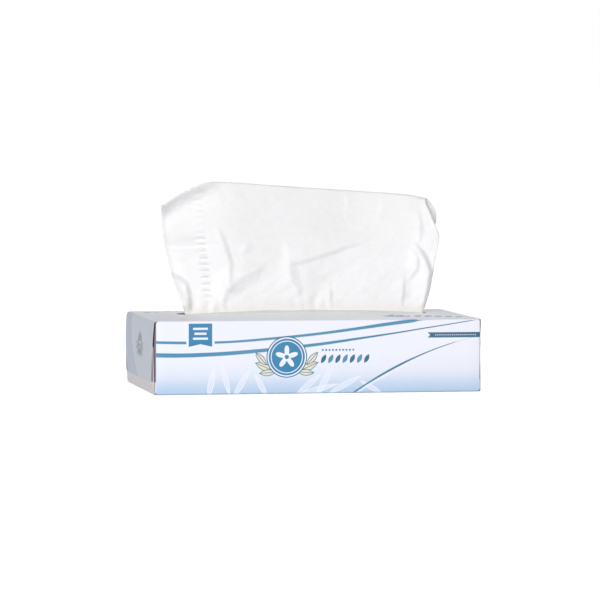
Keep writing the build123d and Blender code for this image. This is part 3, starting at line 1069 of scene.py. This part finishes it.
def tissue_material(sheet):
    """Soft white two-ply paper: matt, a little light passes through it, with fine crepe across the sheet."""
    shade = new_shade("tissue")
    flat = shade.node("UVMap", uv_map="UVMap")
    crepe = shade.noise(shade.stretched(flat, (180, 700, 1)), 1.0, 4.0, 0.7)
    fibre = shade.noise(shade.stretched(flat, (260, 260, 1)), 1.0, 6.0, 0.75)
    cloud = shade.noise(shade.stretched(flat, (26, 26, 1)), 1.0, 4.0, 0.6)
    dimple = shade.noise(shade.stretched(flat, (34, 48, 1)), 1.0, 3.0, 0.6)
    base = sheet.paper
    paint = shade.mix(shade.fade(cloud, 0.25, 0.75), dimmed(base, 0.975), base)
    _, x, _, z = shade.place()
    # Painted shade in the grooves of the pressed ripples along the crimp line
    crimp_line = ((0, 0.87), (0.275, 0.873), (0.5, 0.883), (0.75, 0.896), (1, 0.913))
    line = shade.curve(shade.fade(z, 66, 106), crimp_line) * -79.0
    groove_shade = shade.fade(shade.math("COSINE", (z - 73.5) * (2 * math.pi / CRIMP_PITCH)), 0.1, 0.9)
    beside = shade.fade(abs(x - line), 3.2, 2.0)
    run = shade.fade(z, 62, 68) * shade.fade(z, 109, 103)
    paint = shade.mix(groove_shade * (beside * run), paint, dimmed(base, 0.935))
    # Painted light: warmer near the slit, for the light that the carton and film throw up onto the sheet
    bounce_tint = (base[0], base[1] * 0.982, base[2] * 0.935)
    paint = shade.mix(shade.fade(z + cloud * 8.0, 66.0, 55.0) * 0.9, paint, bounce_tint)
    height = crepe * 0.6 + (fibre * 0.4 + dimple * 8.0)
    body = shade.surface(
        Base_Color=paint, Roughness=0.95, Specular_IOR_Level=0.15, Sheen_Weight=0.12, Sheen_Roughness=0.6,
        Normal=shade.bump(height, 0.12 * MM, 0.65),
    )
    return shade.finish(shade.mix_shaders(0.14, body, shade.node("BsdfTranslucent", {"Color": paint})))


FLOOR_SIDE = 60
FLOOR_WHITE, FLOOR_SHARE = 1.65, 0.55
WORLD_LEVEL = 0.3
LAMP_AIM = (0, 0, 0.07)
# Lamps: name, place, side in metres and watts
LAMPS = (
    ("key", (-1.425, -3.12, 0.955), 1.05, 89),
    ("back_fill", (1.9, 1.6, 0.5), 1.0, 30),
)


def seen(shade):
    """1 for what the camera sees, straight or in gloss or glass, and 0 for what only lights the object."""
    camera, gloss, glass = (
        shade.node("LightPath", (), f"Is {kind} Ray") for kind in ("Camera", "Glossy", "Transmission")
    )
    return shade.most(camera, shade.most(gloss, glass))


def floor_material(stage):
    """Pale floor that keeps the object's shadow and shows white to the camera where nothing shades it."""
    shade = new_shade("pale_floor")
    plain = shade.node("BsdfDiffuse", {"Color": stage.floor})
    lit = shade.node("Emission", {"Color": (1.0, 1.0, 1.0), "Strength": FLOOR_WHITE})
    return shade.finish(shade.mix_shaders(seen(shade) * FLOOR_SHARE, plain, lit))


def model_floor(stage):
    grid = {"x_subdivisions": 8, "y_subdivisions": 8, "size": FLOOR_SIDE}
    floor = start_piece("floor", bpy.ops.mesh.primitive_grid_add, **grid)
    floor.data.materials.append(floor_material(stage))


def light_world():
    """Even white light from all round, white to the camera."""
    world = bpy.data.worlds.new("studio")
    bpy.context.scene.world = world
    shade = Shade(world)
    ground = shade.tree.nodes["Background"]
    shade.put(ground.inputs["Color"], (1, 1, 1))
    shade.put(ground.inputs["Strength"], shade.fade(seen(shade), 0.0, 1.0, WORLD_LEVEL, 1.0))


def add_softbox(name, place, side, watts):
    lamp = start_piece(name, bpy.ops.object.light_add, type="AREA", location=place)
    lamp.data.shape = "SQUARE"
    lamp.data.size = side
    lamp.data.energy = watts
    lamp.visible_camera = False
    lamp.rotation_mode = "QUATERNION"
    lamp.rotation_quaternion = (Vector(LAMP_AIM) - Vector(place)).to_track_quat("-Z", "Y")


def place_camera(stage):
    az, el = stage.azimuth, stage.elevation
    back = Vector((math.sin(az) * math.cos(el), -math.cos(az) * math.cos(el), math.sin(el)))
    data = bpy.data.cameras.new("camera")
    camera = bpy.data.objects.new("camera", data)
    bpy.context.scene.collection.objects.link(camera)
    data.lens = stage.lens
    data.sensor_width = 36
    data.clip_end = 200
    camera.location = Vector((stage.aim_x, 0, stage.aim_z)) + back * stage.distance
    camera.rotation_mode = "QUATERNION"
    roll = Matrix.Rotation(stage.roll, 3, "Z").to_quaternion()
    camera.rotation_quaternion = (-back).to_track_quat("-Z", "Y") @ roll
    bpy.context.scene.camera = camera


class TISSUEBOX_OT_stage(bpy.types.Operator):
    """Lays the floor, hangs the lamps and sets up the camera"""

    bl_idname = "tissuebox.stage"
    bl_label = "Stage"

    def execute(self, context):
        stage = context.scene.tissuebox_stage
        model_floor(stage)
        light_world()
        for lamp in LAMPS:
            add_softbox(*lamp)
        place_camera(stage)
        context.scene.view_settings.view_transform = "Standard"
        return {"FINISHED"}


class TISSUEBOX_OT_carton(bpy.types.Operator):
    """Folds the printed carton"""

    bl_idname = "tissuebox.carton"
    bl_label = "Carton"

    def execute(self, context):
        settle(model_carton(context.scene.tissuebox_carton), "printed_board", "carton")
        return {"FINISHED"}


class TISSUEBOX_OT_film(bpy.types.Operator):
    """Puts the clear film under the slot"""

    bl_idname = "tissuebox.film"
    bl_label = "Slot Film"

    def execute(self, context):
        scene = context.scene
        settle(model_film(scene.tissuebox_film, scene.tissuebox_carton), "clear_film", "slot_film")
        return {"FINISHED"}


class TISSUEBOX_OT_stack(bpy.types.Operator):
    """Piles the folded sheets inside the carton"""

    bl_idname = "tissuebox.stack"
    bl_label = "Stack"

    def execute(self, context):
        settle(model_stack(context.scene.tissuebox_stack), "tissue", "tissue_stack")
        return {"FINISHED"}


class TISSUEBOX_OT_sheet(bpy.types.Operator):
    """Stands the top sheet up through the slit"""

    bl_idname = "tissuebox.sheet"
    bl_label = "Standing Sheet"

    def execute(self, context):
        sheet = context.scene.tissuebox_sheet
        piece = model_sheet(sheet)
        settle(piece, "tissue", "popup_tissue")
        return {"FINISHED"}


class TISSUEBOX_PT_panel(bpy.types.Panel):
    """Lists the steps that build the tissue box"""

    bl_label = "Tissue Box"
    bl_idname = "TISSUEBOX_PT_panel"
    bl_space_type = "VIEW_3D"
    bl_region_type = "UI"
    bl_category = "Tissue Box"

    def draw(self, context):
        for operator in OPERATORS:
            self.layout.operator(operator.bl_idname)


SETTINGS = {
    "tissuebox_carton": CartonSettings,
    "tissuebox_film": FilmSettings,
    "tissuebox_stack": StackSettings,
    "tissuebox_sheet": SheetSettings,
    "tissuebox_stage": StageSettings,
}
OPERATORS = (TISSUEBOX_OT_stage, TISSUEBOX_OT_carton, TISSUEBOX_OT_film, TISSUEBOX_OT_stack, TISSUEBOX_OT_sheet)
CLASSES = (*SETTINGS.values(), *OPERATORS, TISSUEBOX_PT_panel)


def register():
    for made in CLASSES:
        bpy.utils.register_class(made)
    for name, group in SETTINGS.items():
        setattr(bpy.types.Scene, name, PointerProperty(type=group))


def unregister():
    for name in SETTINGS:
        delattr(bpy.types.Scene, name)
    for made in reversed(CLASSES):
        bpy.utils.unregister_class(made)


def main():
    register()
    bpy.ops.tissuebox.stage()
    bpy.ops.tissuebox.carton()
    bpy.ops.tissuebox.film()
    bpy.ops.tissuebox.stack()
    bpy.ops.tissuebox.sheet()


if __name__ == "__main__":
    main()
